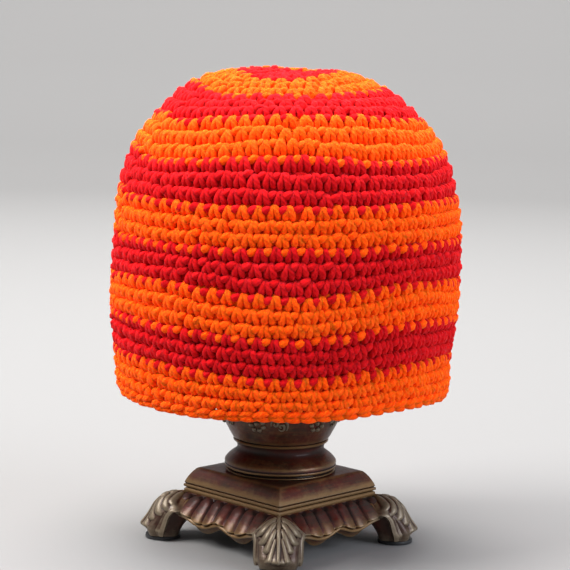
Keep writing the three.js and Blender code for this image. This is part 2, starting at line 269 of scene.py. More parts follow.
# The lobes and veins carved on a leaf's half: start, end (millimetres across, down), half
# width and height.
LEAF_LOBES = (
    ((0.0, 3.0), (0.0, 34.0), 1.5, 1.9),
    ((1.4, 4.0), (8.2, 9.6), 2.3, 1.5),
    ((1.6, 6.8), (8.8, 14.6), 2.3, 1.9),
    ((1.6, 11.0), (7.6, 20.6), 2.2, 1.9),
    ((1.6, 15.6), (5.8, 25.6), 1.9, 1.6),
    ((1.6, 20.8), (4.6, 31.4), 1.6, 1.3),
    ((0.0, 23.0), (0.0, 37.0), 4.6, 1.0),
)
LEAF_GRID = (73, 91)
LEAF_THICKNESS = 2.2
# The carving's ground lies this deep under the foot line. The lobes fade out before LOBE_END.
LEAF_GROUND = 1.0
LOBE_END = 35.0
LOBE_FADE = 3.0
# The raised rim along a leaf's edge: its height, place and width, and the groove beside it.
EDGE_HEIGHT = 0.8
EDGE_PLACE = 0.7
EDGE_WIDTH = 0.55
EDGE_GROOVE = 1.2
# How suddenly a leaf turns down to its side edges.
LEAF_FALL = 2.4
# The heel under a leaf, from its sole up: share of the way, height, inner and outer distance
# from the axis, and half width.
HEEL_ROWS = np.array([
    (0.0, 2.35, 50.9, 66.6, 9.4), (0.12, 4.2, 50.4, 67.4, 9.8), (0.25, 6.2, 49.4, 67.8, 10.0),
    (0.4, 8.5, 47.9, 66.6, 10.0), (0.6, 11.7, 45.6, 64.4, 10.2), (0.8, 14.7, 43.8, 62.0, 10.6),
    (1.0, 17.5, 42.5, 58.8, 11.0),
])
HEEL_CUTS = 9
# How much the heel's corners are rounded off, along it and across it.
HEEL_ROUND_ALONG = 0.22
HEEL_ROUND_ACROSS = 0.12
# A pad from the floor up: millimetres in from its radius, and height.
PAD_ROWS = ((0.5, 0), (0.12, 0.12), (0, 0.5), (0, 1.5), (0.12, 1.88), (0.5, 2))
PAD_SIDES = 48
QUARTERS = (("front", 0), ("right", 90), ("back", 180), ("left", 270))
SIDES = (("front_right", 45), ("back_right", 135), ("back_left", 225), ("front_left", 315))

# The curvature, per metre, at which a surface counts as standing fully proud.
FULL_BEND = 900

# The backdrop, from the top of its wall to the edge of the floor, as (radius, height) in metres.
BACKDROP_ROWS = (
    (3.4, 2.4), (3.4, 1.2), (3.34, 0.82), (3.16, 0.48), (2.9, 0.2), (2.58, 0.05), (2.2, 0),
)
HAT_MIDDLE = (CAD_BOX[0] + CAD_BOX[1]) / 2
WALL_MIDDLE = Vector((0, 3.3, 0.7))
# The lights: name, place, target, size and colour.
LIGHTS = (
    ("key", (-1.5, -0.5, 1.85), HAT_MIDDLE, 1.3, (1.0, 0.985, 0.96)),
    ("fill", (1.65, -0.95, 0.8), HAT_MIDDLE, 1.2, (0.86, 0.91, 1.0)),
    ("top", (-0.1, 0.05, 1.75), HAT_MIDDLE, 1.2, (1.0, 0.99, 0.97)),
    ("wall", (0, 0.9, 2.4), WALL_MIDDLE, 1.6, (1.0, 0.985, 0.96)),
)
AIR_COLOR = (0.96, 0.97, 1.0, 1)
AIR_STRENGTH = 0.85
CAMERA_PLACE = (0.0005, -0.950, 0.2547)
CAMERA_PITCH = math.radians(-7.4)
CAMERA_ROLL = math.radians(1.2)
CAMERA_LENS = 120
CAMERA_SENSOR = 36


def length_property(name, description, default):
    """A length that a user can change, in metres."""
    return FloatProperty(name=name, description=description, default=default, unit="LENGTH")


def power_property(name, description, default):
    """A light's power that a user can change, in watts."""
    return FloatProperty(name=name, description=description, default=default, unit="POWER")


def color_property(name, description, default):
    """A colour that a user can change."""
    return FloatVectorProperty(
        name=name, description=description, default=default, subtype="COLOR", min=0, max=1,
    )


class HatSizes(bpy.types.PropertyGroup):
    """Sizes of the hat's form and of its stitches."""

    radius: length_property("Radius", "Outer radius of the widest round", 0.0875)
    height: length_property("Height", "From the rim to the top of the crown", 0.1606)
    rim_height: length_property("Rim Height", "Height of the rim above the floor", 0.0787)
    crown_dent: length_property("Crown Dent", "Depth of the soft dent in the crown", 0.003)
    yarn_radius: length_property("Yarn Radius", "Half the thickness of the yarn", 0.0016)
    stitches: IntProperty(
        name="Stitches",
        description="Stitches in one full round of the side",
        default=72,
        min=24,
    )
    sectors: IntProperty(
        name="Crown Sectors",
        description="Stitches in the first round, and how many each later crown round gains",
        default=6,
        min=4,
    )
    slip: FloatProperty(
        name="Slip",
        description="Stitch widths that each round slips to the left",
        default=0.3,
    )
    jog: FloatProperty(
        name="Jog",
        description="Rounds by which a round's two ends miss each other at the seam",
        default=0.45,
    )
    unevenness: FloatProperty(
        name="Unevenness",
        description="How far a strand strays, in stitch widths",
        default=0.055,
    )


class YarnLooks(bpy.types.PropertyGroup):
    """Colours and finish of the two yarns."""

    red: color_property("Red Yarn", "Colour of the red yarn", (0.53, 0.002, 0.005))
    orange: color_property("Orange Yarn", "Colour of the orange yarn", (1.0, 0.082, 0.0))
    fuzz: FloatProperty(
        name="Fuzz",
        description="Strength of the soft sheen of loose fibres",
        default=0.07,
        subtype="FACTOR",
        min=0,
        max=1,
    )


class StandSizes(bpy.types.PropertyGroup):
    """Sizes of the pedestal stand."""

    half_diagonal: length_property(
        "Plate Half Diagonal", "From the axis to a corner of the square plate", 0.0492,
    )
    plate_underside: length_property(
        "Plate Underside", "Height of the plate's underside above the floor", 0.0235,
    )
    skirt_flare: length_property(
        "Skirt Flare", "How far the hem stands out beyond the plate", 0.0078,
    )
    rib_relief: length_property(
        "Rib Relief", "How far the skirt's ribs stand out of its wall", 0.0024,
    )
    floor_height: length_property(
        "Underside Panel", "Height of the panel that closes the base from below", 0.0135,
    )
    stem_foot: length_property(
        "Stem Foot", "Height of the stem's foot above the floor", STEM_BOX[0].z,
    )
    stem_height: length_property(
        "Stem Height", "From the stem's foot to the top of its cup", STEM_BOX[1].z - STEM_BOX[0].z,
    )
    cup_radius: length_property(
        "Cup Radius", "Radius of the cup at the top of the stem", STEM_BOX[1].y,
    )
    pad_reach: length_property(
        "Pad Reach", "From the axis to the middle of a foot pad", (PAD_BOX[0].x + PAD_BOX[1].x) / 2,
    )
    pad_radius: length_property(
        "Pad Radius", "Radius of a foot pad", (PAD_BOX[1].x - PAD_BOX[0].x) / 2,
    )


class StandLooks(bpy.types.PropertyGroup):
    """Colours of the stand."""

    # The hollows show this lacquer darkened further by painted shade in the bronze.
    lacquer: color_property(
        "Dark Lacquer", "Dark brown of the flats and hollows", (0.034, 0.015, 0.008),
    )
    russet: color_property(
        "Russet", "Reddish brown that shows in patches", (0.072, 0.009, 0.004),
    )
    gilding: color_property(
        "Rubbed Gold", "Gold wax rubbed over the raised edges", (0.16, 0.09, 0.034),
    )
    leaf_gilding: color_property(
        "Leaf Gold", "Paler wax rubbed over the leaves of the feet", (0.155, 0.12, 0.08),
    )
    wood: color_property(
        "Rest Wood", "Wood of the dome that holds up the crown", (0.25, 0.13, 0.06),
    )


class StudioLooks(bpy.types.PropertyGroup):
    """Light and colour of the plain studio."""

    floor: color_property("Floor", "Colour of the floor and the backdrop", (0.215, 0.213, 0.213))
    key_power: power_property("Key Light", "Power of the large light at the upper left", 84)
    fill_power: power_property("Fill Light", "Power of the weaker light at the right", 34)
    top_power: power_property("Top Light", "Power of the light overhead", 44)
    wall_power: power_property("Wall Light", "Power of the light on the backdrop", 130)


def smooth_columns(table, places):
    """A table's columns at any places, smoothly between its rows."""
    knots, values = table[:, 0], table[:, 1:]
    spans = np.diff(knots)
    places = np.clip(places, knots[0], knots[-1])
    index = np.clip(np.searchsorted(knots, places, side="right") - 1, 0, len(spans) - 1)
    width = spans[index][..., None]
    part = (places - knots[index])[..., None] / width
    wide = spans[:, None]
    rises = np.diff(values, axis=0) / wide
    slopes = np.empty_like(values)
    slopes[1:-1] = (rises[:-1] * wide[1:] + rises[1:] * wide[:-1]) / (wide[:-1] + wide[1:])
    slopes[0] = 1.5 * rises[0] - 0.5 * slopes[1]
    slopes[-1] = 1.5 * rises[-1] - 0.5 * slopes[-2]
    columns = (
        (2 * part**3 - 3 * part**2 + 1) * values[index]
        + (part**3 - 2 * part**2 + part) * width * slopes[index]
        + (3 * part**2 - 2 * part**3) * values[index + 1]
        + (part**3 - part**2) * width * slopes[index + 1]
    )
    return np.moveaxis(columns, -1, 0)


def profile_at(rows, places):
    """A profile's two columns at places from 0, its first row, to 1, its last."""
    steps = np.linspace(0, 1, len(rows))
    return smooth_columns(np.column_stack([steps, rows]), places)


def unit(vectors):
    """The same directions, one long."""
    return vectors / np.maximum(np.linalg.norm(vectors, axis=-1, keepdims=True), 1e-12)


def form_points(sizes, rounds, azimuths):
    """Points on the hat's outer form, as an array with a last axis of three."""
    columns = smooth_columns(FORM_ROWS, rounds)
    radius, height, front, back, left, right, lean, shift = columns
    x = (radius * np.sin(azimuths) + shift) * sizes.radius
    y = -radius * np.cos(azimuths) * sizes.radius
    forward = np.cos(azimuths)
    sideways = np.sin(azimuths)
    lift = front * np.maximum(forward, 0) ** 2 + back * np.maximum(-forward, 0) ** 2
    diagonal = np.where(sideways < 0, left, right) * np.sin(2 * azimuths) ** 2
    lift += np.where(forward > 0, diagonal, 0) + lean * sideways
    away = (x / sizes.radius - DENT_PLACE[0]) ** 2 + (y / sizes.radius - DENT_PLACE[1]) ** 2
    dent = sizes.crown_dent * np.exp(-away / DENT_RADIUS**2)
    z = sizes.rim_height + (height + lift) * sizes.height - dent
    return np.stack([x, y, z], axis=-1)


def place_on_form(sizes, rounds, azimuths, depths):
    """Points at depths in millimetres out from the form, and the directions right and down."""
    safe = np.clip(rounds, 3 * ROUND_STEP, LAST_ROUND + 1 - ROUND_STEP)
    down = form_points(sizes, safe + ROUND_STEP, azimuths)
    down = unit(down - form_points(sizes, safe - ROUND_STEP, azimuths))
    right = form_points(sizes, safe, azimuths + AZIMUTH_STEP)
    right = unit(right - form_points(sizes, safe, azimuths - AZIMUTH_STEP))
    outward = unit(np.cross(down, right))
    points = form_points(sizes, rounds, azimuths) + outward * (depths * MM)[..., None]
    return points, right, down


def curve_weights(points, rings):
    """Weights that turn control points into ring centres and directions on a smooth curve."""
    blend = np.array([[0, 2, 0, 0], [-1, 0, 1, 0], [2, -5, 4, -1], [-1, 3, -3, 1]]) / 2
    same = np.eye(points)
    padded = np.vstack([2 * same[0] - same[1], same, 2 * same[-1] - same[-2]])
    centres = []
    slopes = []
    for place in np.linspace(0, points - 1, rings):
        start = min(int(place), points - 2)
        part = place - start
        near = blend @ padded[start:start + 4]
        centres.append(np.array([1, part, part**2, part**3]) @ near)
        slopes.append(np.array([0, 1, 2 * part, 3 * part**2]) @ near)
    return np.array(centres), np.array(slopes)


class MeshPile:
    """Collects many small closed forms and makes one mesh of them."""

    def __init__(self):
        self.parts = []
        self.total = 0

    def add(self, points, corners, counts, coords, shades):
        """Adds faces whose corners number the given points."""
        points = points.reshape(-1, 3)
        corners = corners.ravel() + self.total
        self.parts.append((points, corners, counts, coords.reshape(-1, 2), shades.ravel()))
        self.total += len(points)

    def piece(self, name):
        """One smooth mesh object of all that was added."""
        points, corners, counts, coords, shades = map(np.concatenate, zip(*self.parts))
        mesh = bpy.data.meshes.new(name)
        mesh.vertices.add(len(points))
        mesh.vertices.foreach_set("co", points.astype(np.float32).ravel())
        mesh.loops.add(len(corners))
        mesh.loops.foreach_set("vertex_index", corners.astype(np.int32))
        mesh.polygons.add(len(counts))
        starts = np.concatenate([[0], np.cumsum(counts)[:-1]])
        mesh.polygons.foreach_set("loop_start", starts.astype(np.int32))
        mesh.polygons.foreach_set("use_smooth", np.ones(len(counts), bool))
        layer = mesh.uv_layers.new(name="strand")
        layer.uv.foreach_set("vector", coords.astype(np.float32).ravel())
        shade_layer = mesh.attributes.new("shade", "FLOAT", "POINT")
        shade_layer.data.foreach_set("value", shades.astype(np.float32))
        mesh.update(calc_edges=True)
        piece = bpy.data.objects.new(name, mesh)
        bpy.context.scene.collection.objects.link(piece)
        return piece


def sweep(pile, paths, side_axes, radius, rings, sides, shades, swell=STRAND_SWELL, ends=1.0):
    """Adds a closed tube along every path, its seam a quarter turn from its side axis."""
    strands = len(paths)
    centre_weights, slope_weights = curve_weights(paths.shape[1], rings)
    centres = np.einsum("rp,spd->srd", centre_weights, paths)
    along = unit(np.einsum("rp,spd->srd", slope_weights, paths))
    across = side_axes[:, None, :]
    across = unit(across - along * np.sum(across * along, -1, keepdims=True))
    over = np.cross(along, across)
    angles = np.arange(sides) / sides * 2 * math.pi - math.pi / 2
    profile = ends + (1 + swell - ends) * np.sin(np.linspace(0, math.pi, rings))
    size = (radius[:, None] * profile[None, :])[:, :, None, None]
    spokes = np.cos(angles)[:, None] * across[:, :, None, :]
    spokes = spokes + np.sin(angles)[:, None] * over[:, :, None, :]
    tubes = centres[:, :, None, :] + size * spokes

    side = np.arange(sides)
    after = (side + 1) % sides
    ring = np.arange(rings - 1)[:, None] * sides
    quads = np.stack([ring + side, ring + after, ring + sides + after, ring + sides + side], -1)
    caps = np.stack([side[::-1], side + (rings - 1) * sides])
    corners = np.concatenate([quads.ravel(), caps.ravel()])[None, :]
    corners = corners + (np.arange(strands) * rings * sides)[:, None]
    one = np.concatenate([np.full((rings - 1) * sides, 4), np.full(2, sides)])
    counts = np.tile(one, strands)

    lengths = np.linalg.norm(np.diff(centres, axis=1), axis=-1)
    run = np.concatenate([np.zeros((strands, 1)), np.cumsum(lengths, axis=1)], axis=1) / MM
    run = run + shades[:, None] * TWIST_SHIFT
    coords = np.zeros((strands, rings - 1, sides, 4, 2))
    coords[..., 0] = np.stack([side, side + 1, side + 1, side], -1) / sides
    coords[..., 0:2, 1] = run[:, :-1, None, None]
    coords[..., 2:4, 1] = run[:, 1:, None, None]
    caps_at = np.zeros((strands, 2 * sides, 2))
    coords = np.concatenate([coords.reshape(strands, -1, 2), caps_at], axis=1)
    pile.add(tubes, corners, counts, coords, np.repeat(shades, rings * sides))


def round_stitches(sizes, number):
    """How many stitches a round has, and the azimuth where it starts at the seam."""
    full = sizes.stitches
    crown_rounds = full // sizes.sectors
    start = SEAM_AZIMUTH
    for above in range(number, crown_rounds):
        start += sizes.slip * 2 * math.pi / (sizes.sectors * above)
    start -= sizes.slip * max(0, number - crown_rounds) * 2 * math.pi / full
    return min(sizes.sectors * number, full), start


def crochet(pile, sizes, generator, number, shapes, rings, sides, skipped=None, swell=STRAND_SWELL):
    """Adds one strand for each shape to every stitch of a round."""
    count, start = round_stitches(sizes, number)
    keep = np.ones(count, bool) if skipped is None else ~skipped
    wander = generator.normal(0, sizes.unevenness, (count, 1, 2))
    to_rim = LAST_ROUND + 1 - number
    lift = STITCH_LIFT * min(1, number / LIFT_START_ROUNDS, to_rim / LIFT_END_ROUNDS)
    jog = sizes.jog * min(1, number / JOG_START_ROUNDS)
    wave_share = min(1, number / WAVE_START_ROUNDS)
    for shape in shapes:
        control = np.array(shape)
        stray = wander + generator.normal(0, sizes.unevenness / 2, (count, 1, 2))
        columns = np.arange(count)[:, None] + 0.5 + control[:, 0] + stray[..., 0]
        rows = number - 1 - lift + control[:, 1] + stray[..., 1]
        depths = control[:, 2] + generator.normal(0, DEPTH_STRAY, (count, 1))
        azimuths = start + columns * 2 * math.pi / count
        rows = rows + jog * (0.5 - columns / count)
        for height, waves, gain in WAVES:
            rows = rows + wave_share * height * np.sin(waves * azimuths + gain * number)
        rows = np.maximum(rows, INNERMOST_ROUND)
        paths, right, down = place_on_form(sizes, rows, azimuths, depths)
        middle = len(shape) // 2
        sideways = abs(control[-1, 0] - control[0, 0]) > abs(control[-1, 1] - control[0, 1])
        axes = -down[:, middle] if sideways else right[:, middle]
        radius = sizes.yarn_radius * generator.uniform(*THICKNESS_RANGE, count)
        shades = generator.uniform(0, 1, count)
        sweep(pile, paths[keep], axes[keep], radius[keep], rings, sides, shades[keep], swell)


def add_backing(pile, sizes, first, last):
    """Adds the thin closed wall behind a stripe's strands, in a darker tone as painted shade."""
    steps = 2 * (last - first + 1) + 1
    outer = np.linspace(max(first - 1, INNERMOST_ROUND), last, steps)
    rounds = np.concatenate([outer, outer[::-1]])
    depths = np.concatenate([np.full(steps, BACKING_OUTER), np.full(steps, BACKING_INNER)])
    azimuths = np.arange(BACKING_SIDES) / BACKING_SIDES * 2 * math.pi
    rounds = np.repeat(rounds[:, None], BACKING_SIDES, axis=1)
    depths = np.repeat(depths[:, None], BACKING_SIDES, axis=1)
    points, _, _ = place_on_form(sizes, rounds, azimuths[None, :] + 0 * rounds, depths)
    ring = (np.arange(2 * steps) * BACKING_SIDES)[:, None]
    following = np.roll(ring, -1, axis=0)
    side = np.arange(BACKING_SIDES)[None, :]
    after = (side + 1) % BACKING_SIDES
    quads = np.stack([ring + side, following + side, following + after, ring + after], -1)
    counts = np.full(quads.size // 4, 4)
    # A shade of zero puts the wall at the dark end of the yarn's tones: painted shade in the gaps.
    pile.add(points, quads, counts, np.zeros((quads.size, 2)), np.zeros(points.shape[:2]))


def shared_tops(sizes, number):
    """Which gaps of a round lie between two stitches made in one stitch of the round above."""
    count, _ = round_stitches(sizes, number)
    above, _ = round_stitches(sizes, number - 1)
    if count == above:
        return np.zeros(count, bool)
    sector = count // sizes.sectors
    return np.arange(count) % sector == (3 * number) % sector


def crochet_stripe(sizes, name, first, last):
    """One stripe of the hat: its stitches, their backs and the wall behind them."""
    pile = MeshPile()
    generator = np.random.default_rng(100 + first)
    for number in range(first, last + 1):
        crochet(pile, sizes, generator, number, (LEFT_LEG, RIGHT_LEG), rings=8, sides=7)
        crochet(pile, sizes, generator, number, (INNER_BAR, INNER_LEG), rings=5, sides=5)
        if number < LAST_ROUND:
            below = number + 1
            shared = shared_tops(sizes, below)
            crochet(pile, sizes, generator, below, (FRONT_LOOP,), 7, 7, shared, LOOP_SWELL)
    add_backing(pile, sizes, first, last)
    return pile.piece(name)


def pick(piece):
    """Makes a piece the only selected object, and the active one."""
    bpy.ops.object.select_all(action="DESELECT")
    piece.select_set(True)
    bpy.context.view_layer.objects.active = piece


def begin(add, name, **options):
    """Adds a primitive with nothing else selected."""
    bpy.ops.object.select_all(action="DESELECT")
    add(**options)
    piece = bpy.context.object
    piece.name = name
    piece.data.name = name
    return piece


def read_points(piece):
    """A piece's points, one to a row."""
    points = np.empty(len(piece.data.vertices) * 3, np.float32)
    piece.data.vertices.foreach_get("co", points)
    return points.reshape(-1, 3).astype(float)


def move_points(piece, points):
    """Puts a piece's points in new places."""
    piece.data.vertices.foreach_set("co", points.astype(np.float32).ravel())
    piece.data.update()


def settle(piece):
    """Moves a piece's place into its mesh and turns its faces outwards."""
    pick(piece)
    bpy.ops.object.transform_apply(location=True, rotation=True, scale=True)
    bpy.ops.object.mode_set(mode="EDIT")
    bpy.ops.mesh.select_all(action="SELECT")
    bpy.ops.mesh.remove_doubles(threshold=1e-6)
    bpy.ops.mesh.normals_make_consistent(inside=False)
    bpy.ops.object.mode_set(mode="OBJECT")
    return piece


def stack_rings(name, corners, rows, cuts=0, capped=True):
    """A solid of rings, one over another, each given by its radius and height."""
    radius, height = rows[0]
    fill = "NGON" if capped else "NOTHING"
    piece = begin(
        bpy.ops.mesh.primitive_circle_add, name,
        vertices=corners, radius=radius, fill_type=fill, location=(0, 0, height),
    )
    bpy.ops.object.mode_set(mode="EDIT")
    bpy.ops.mesh.select_all(action="SELECT")
    if cuts:
        bpy.ops.mesh.subdivide(number_cuts=cuts)
    extrude = bpy.ops.mesh.extrude_region_move if capped else bpy.ops.mesh.extrude_edges_move
    for next_radius, next_height in rows[1:]:
        extrude(TRANSFORM_OT_translate={"value": (0, 0, next_height - height)})
        scale = next_radius / radius
        bpy.ops.transform.resize(value=(scale, scale, 1), center_override=(0, 0, next_height))
        radius, height = next_radius, next_height
    if not capped:
        bpy.ops.mesh.edge_face_add()
    bpy.ops.object.mode_set(mode="OBJECT")
    return settle(piece)


def drape_grid(name, columns, rows, place):
    """A grid whose points are placed by a function of x and y, each from -1 to 1."""
    piece = begin(
        bpy.ops.mesh.primitive_grid_add, name,
        x_subdivisions=columns, y_subdivisions=rows, size=2,
    )
    x, y, _ = read_points(piece).T
    move_points(piece, place(x, y))
    return piece


def thicken(piece, thickness):
    """Gives a sheet a thickness, in millimetres, behind its face."""
    pick(piece)
    modifier = piece.modifiers.new("Thickness", "SOLIDIFY")
    modifier.thickness = thickness * MM
    modifier.offset = -1
    bpy.ops.object.modifier_apply(modifier=modifier.name)


def shade(piece, degrees):
    """Shades a piece smooth, with creases where its faces turn more than an angle."""
    pick(piece)
    bpy.ops.object.shade_smooth_by_angle(angle=math.radians(degrees))


def mark_wear_and_shade(piece, smoothing=2, gilt=0.0):
    """Stores on each point how far the surface stands proud, from -1 to 1, with any gilt added.

    The gilt is a number, or a function of the points in millimetres. Below zero it gives painted
    shade.
    """
    mesh = piece.data
    points = read_points(piece)
    count = len(points)
    normals = np.empty(count * 3, np.float32)
    mesh.vertex_normals.foreach_get("vector", normals)
    normals = normals.reshape(-1, 3).astype(float)
    edges = np.empty(len(mesh.edges) * 2, np.int32)
    mesh.edges.foreach_get("vertices", edges)
    start, end = edges.reshape(-1, 2).T
    step = points[start] - points[end]
    squared = np.maximum(np.sum(step**2, axis=1), 1e-12)
    share = 1 / np.sqrt(squared)
    total = np.zeros(count)
    weight = np.zeros(count)
    for near, sign in ((start, 2), (end, -2)):
        np.add.at(total, near, sign * np.sum(normals[near] * step, axis=1) / squared * share)
        np.add.at(weight, near, share)
    bend = np.clip(total / np.maximum(weight, 1e-12) / FULL_BEND, -1, 1)
    for _ in range(smoothing):
        sums = bend * 2
        parts = np.full(count, 2.0)
        for near, far in ((start, end), (end, start)):
            np.add.at(sums, near, bend[far])
            np.add.at(parts, near, 1)
        bend = sums / parts
    bend = bend + (gilt(points / MM) if callable(gilt) else gilt)
    wear = mesh.attributes.new("wear", "FLOAT", "POINT")
    wear.data.foreach_set("value", bend.astype(np.float32))


def band_gilt(amount, middle, spread, ground):
    """Gilt in a soft band at a height in millimetres, over an even ground."""
    return lambda points: amount * np.exp(-(((points[:, 2] - middle) / spread) ** 2)) + ground


def falling_gilt(amount, top, depth, ground):
    """Gilt that grows below a height over a depth, in millimetres, over an even ground."""
    return lambda points: amount * np.clip((top - points[:, 2]) / depth, 0, 1) + ground


def turned_copies(piece, stem, turns):
    """Copies of a piece made for the front, each turned about the axis with its own mesh."""
    copies = []
    for place, degrees in turns:
        copy = piece.copy()
        copy.data = piece.data.copy()
        copy.name = f"{stem}_{place}"
        copy.data.name = copy.name
        copy.data.transform(Matrix.Rotation(math.radians(degrees), 4, "Z"))
        bpy.context.scene.collection.objects.link(copy)
        copies.append(copy)
    bpy.data.objects.remove(piece)
    return copies


def dress(piece, material, slot, *nodes):
    """Gives a finished piece its material, its body and the nodes that it stands for."""
    piece.data.materials.clear()
    piece.data.materials.append(material)
    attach(piece, "root")
    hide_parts(*nodes)


def dress_bronze(piece, node):
    """Gives a piece of the stand its bronze."""
    dress(piece, bpy.data.materials["antique_bronze"], "stand_bronze", node)


class NodeBoard:
    """A short way to build a node tree."""

    def __init__(self, name):
        old = bpy.data.materials.get(name)
        if old:
            bpy.data.materials.remove(old)
        self.material = bpy.data.materials.new(name)
        self.material.use_nodes = True
        self.tree = self.material.node_tree

    def join(self, value, socket):
        """Links a socket to another, or sets its value."""
        if isinstance(value, bpy.types.NodeSocket):
            self.tree.links.new(value, socket)
        else:
            socket.default_value = value

    def node(self, kind, inputs=(), **options):
        made = self.tree.nodes.new("ShaderNode" + kind)
        for option, value in options.items():
            setattr(made, option, value)
        for key, value in dict(inputs).items():
            self.join(value, made.inputs[key])
        return made

    def finish(self, inputs):
        """Sets the shader's inputs and gives the material back."""
        for key, value in inputs.items():
            self.join(value, self.tree.nodes["Principled BSDF"].inputs[key])
        return self.material

    def math(self, operation, *values):
        made = self.node("Math", operation=operation)
        for index, value in enumerate(values):
            self.join(value, made.inputs[index])
        return made.outputs[0]

    def total(self, *terms, start=0.0):
        """The sum of some values, each times its weight, and of a number."""
        for value, weight in terms:
            start = self.math("MULTIPLY_ADD", value, weight, start)
        return start

    def vector_math(self, operation, *values):
        return self.node("VectorMath", dict(enumerate(values)), operation=operation).outputs

    def ramp(self, value, *stops):
        """A colour ramp. A stop's colour may be a number, for a grey."""
        made = self.node("ValToRGB", {"Fac": value})
        elements = made.color_ramp.elements
        while len(elements) < len(stops):
            elements.new(0.5)
        for element, (place, color) in zip(elements, stops):
            element.position = place
            element.color = (*color, 1) if isinstance(color, tuple) else (color, color, color, 1)
        return made.outputs["Color"]

    def blend(self, share, first, second, mode="MIX"):
        made = self.node("Mix", data_type="RGBA", blend_type=mode)
        self.join(share, made.inputs["Factor"])
        self.join(first, made.inputs["A"])
        self.join(second, made.inputs["B"])
        return made.outputs["Result"]

    def attribute(self, name):
        return self.node("Attribute", attribute_name=name).outputs["Fac"]

    def place(self):
        return self.node("TexCoord").outputs["Object"]

    def noise(self, place, scale, detail=3, roughness=0.5):
        inputs = {"Vector": place, "Scale": scale, "Detail": detail, "Roughness": roughness}
        return self.node("TexNoise", inputs).outputs["Fac"]

    def bump(self, height, strength, distance, under=None):
        made = self.node("Bump", {"Height": height, "Strength": strength, "Distance": distance})
        if under:
            self.join(under, made.inputs["Normal"])
        return made.outputs["Normal"]


def tinted(color, share, more=0.0):
    """A colour times a share, with a little more of each channel, at most 1."""
    return tuple(min(1, channel * share + more) for channel in color)


def yarn_material(name, color, fuzz):
    """Plied yarn: twisted plies, fine fibres and a little colour change between strands."""
    board = NodeBoard(name)
    strand = board.node("UVMap", uv_map="strand").outputs["UV"]
    parts = board.node("SeparateXYZ", {"Vector": strand})
    turn, run = parts.outputs["X"], parts.outputs["Y"]
    own_shade = board.attribute("shade")
    phase = board.total((turn, 4.0), (run, 0.42))
    ply = board.math("SINE", board.math("MULTIPLY", phase, 2 * math.pi))
    fibre_place = board.node("CombineXYZ", {
        "X": board.math("MULTIPLY", phase, 5.0),
        "Y": board.math("MULTIPLY", run, 0.5),
        "Z": board.math("MULTIPLY", own_shade, 40.0),
    })
    fibre = board.noise(fibre_place.outputs["Vector"], 1.0, detail=4, roughness=0.65)
    patch = board.noise(board.place(), 30.0, detail=2)
    tone = board.total((own_shade, 0.35), (fibre, 0.35), (patch, 0.25), (ply, 0.06), start=0.05)
    stops = (0.15, tinted(color, 0.72)), (0.5, color), (0.85, tinted(color, 1.12, 0.004))
    plies = board.bump(ply, 0.55, 0.00025)
    return board.finish({
        "Base Color": board.ramp(tone, *stops),
        "Normal": board.bump(fibre, 0.5, 0.0003, plies),
        "Roughness": 0.85,
        "Specular IOR Level": 0.08,
        "Sheen Weight": fuzz,
        "Sheen Roughness": 0.5,
        "Sheen Tint": (*tinted(color, 0.7, 0.3), 1),
        "Subsurface Weight": 0.65,
        "Subsurface Radius": (1.0, 0.3, 0.1),
        "Subsurface Scale": 0.0026,
    })


def bronze_material(name, looks):
    """Antiqued bronze: dark lacquer with russet patches and gold rubbed over what stands proud."""
    board = NodeBoard(name)
    place = board.place()
    wear = board.attribute("wear")
    broad = board.noise(place, 60.0, detail=4, roughness=0.6)
    cloud = board.noise(place, 130.0, detail=3, roughness=0.55)
    stretched = board.vector_math("MULTIPLY", place, (0.12, 0.12, 1.6))["Vector"]
    brushed = board.noise(stretched, 700.0, detail=3, roughness=0.6)
    fine = board.noise(place, 420.0, detail=5, roughness=0.65)

    # Distance from the axis, in decimetres: the leaves of the feet reach out past the rest.
    flat = board.vector_math("MULTIPLY", place, (1, 1, 0))["Vector"]
    reach = board.math("MULTIPLY", board.vector_math("LENGTH", flat)["Value"], 10.0)
    red = board.ramp(board.total((broad, 0.6), (brushed, 0.4)), (0.40, 0), (0.56, 1))
    inner = board.ramp(reach, (0.49, 1), (0.53, 0.15))
    russet_share = board.math("MULTIPLY", red, inner)
    ground = board.blend(russet_share, (*looks.lacquer, 1), (*looks.russet, 1))

    rubbed = board.total((wear, 1.2), (fine, 0.5), (cloud, 0.45), (brushed, 0.2))
    mask = board.ramp(rubbed, (0.56, 0), (1.08, 1))
    # Paler gold on the leaves, the berries and the sharpest edges, there rubbed gold and painted
    # highlight.
    pale = board.math("MAXIMUM", reach, board.math("MULTIPLY", wear, 0.5))
    gold = board.ramp(pale, (0.47, tuple(looks.gilding)), (0.53, tuple(looks.leaf_gilding)))
    color = board.blend(mask, ground, gold)
    # Painted shade: darker where the value sinks below zero, in hollows, creases and grooves.
    hollow_shade = board.ramp(board.total((wear, 3.0), start=1.0), (0.2, 0.25), (0.9, 1))
    dull = board.math("MAXIMUM", board.math("MULTIPLY", wear, -1.2), 0.0)
    return board.finish({
        "Base Color": board.blend(1.0, color, hollow_shade, mode="MULTIPLY"),
        "Roughness": board.total((fine, 0.35), (dull, 1.0), start=0.24),
        "Normal": board.bump(fine, 0.35, 0.0004),
        "Metallic": 0.35,
        "Specular IOR Level": 0.3,
        "Coat Weight": 0.15,
        "Coat Roughness": 0.2,
    })


def rubber_material(name):
    """Black foot rubber with a fine grain and a dusty bloom."""
    board = NodeBoard(name)
    place = board.place()
    dust = board.noise(place, 160.0, detail=4)
    grain = board.noise(place, 1800.0, detail=2)
    return board.finish({
        "Base Color": board.ramp(dust, (0.35, (0.004, 0.004, 0.005)), (0.75, (0.022, 0.022, 0.024))),
        "Roughness": board.total((dust, 0.3), start=0.4),
        "Normal": board.bump(grain, 0.3, 0.0002),
    })


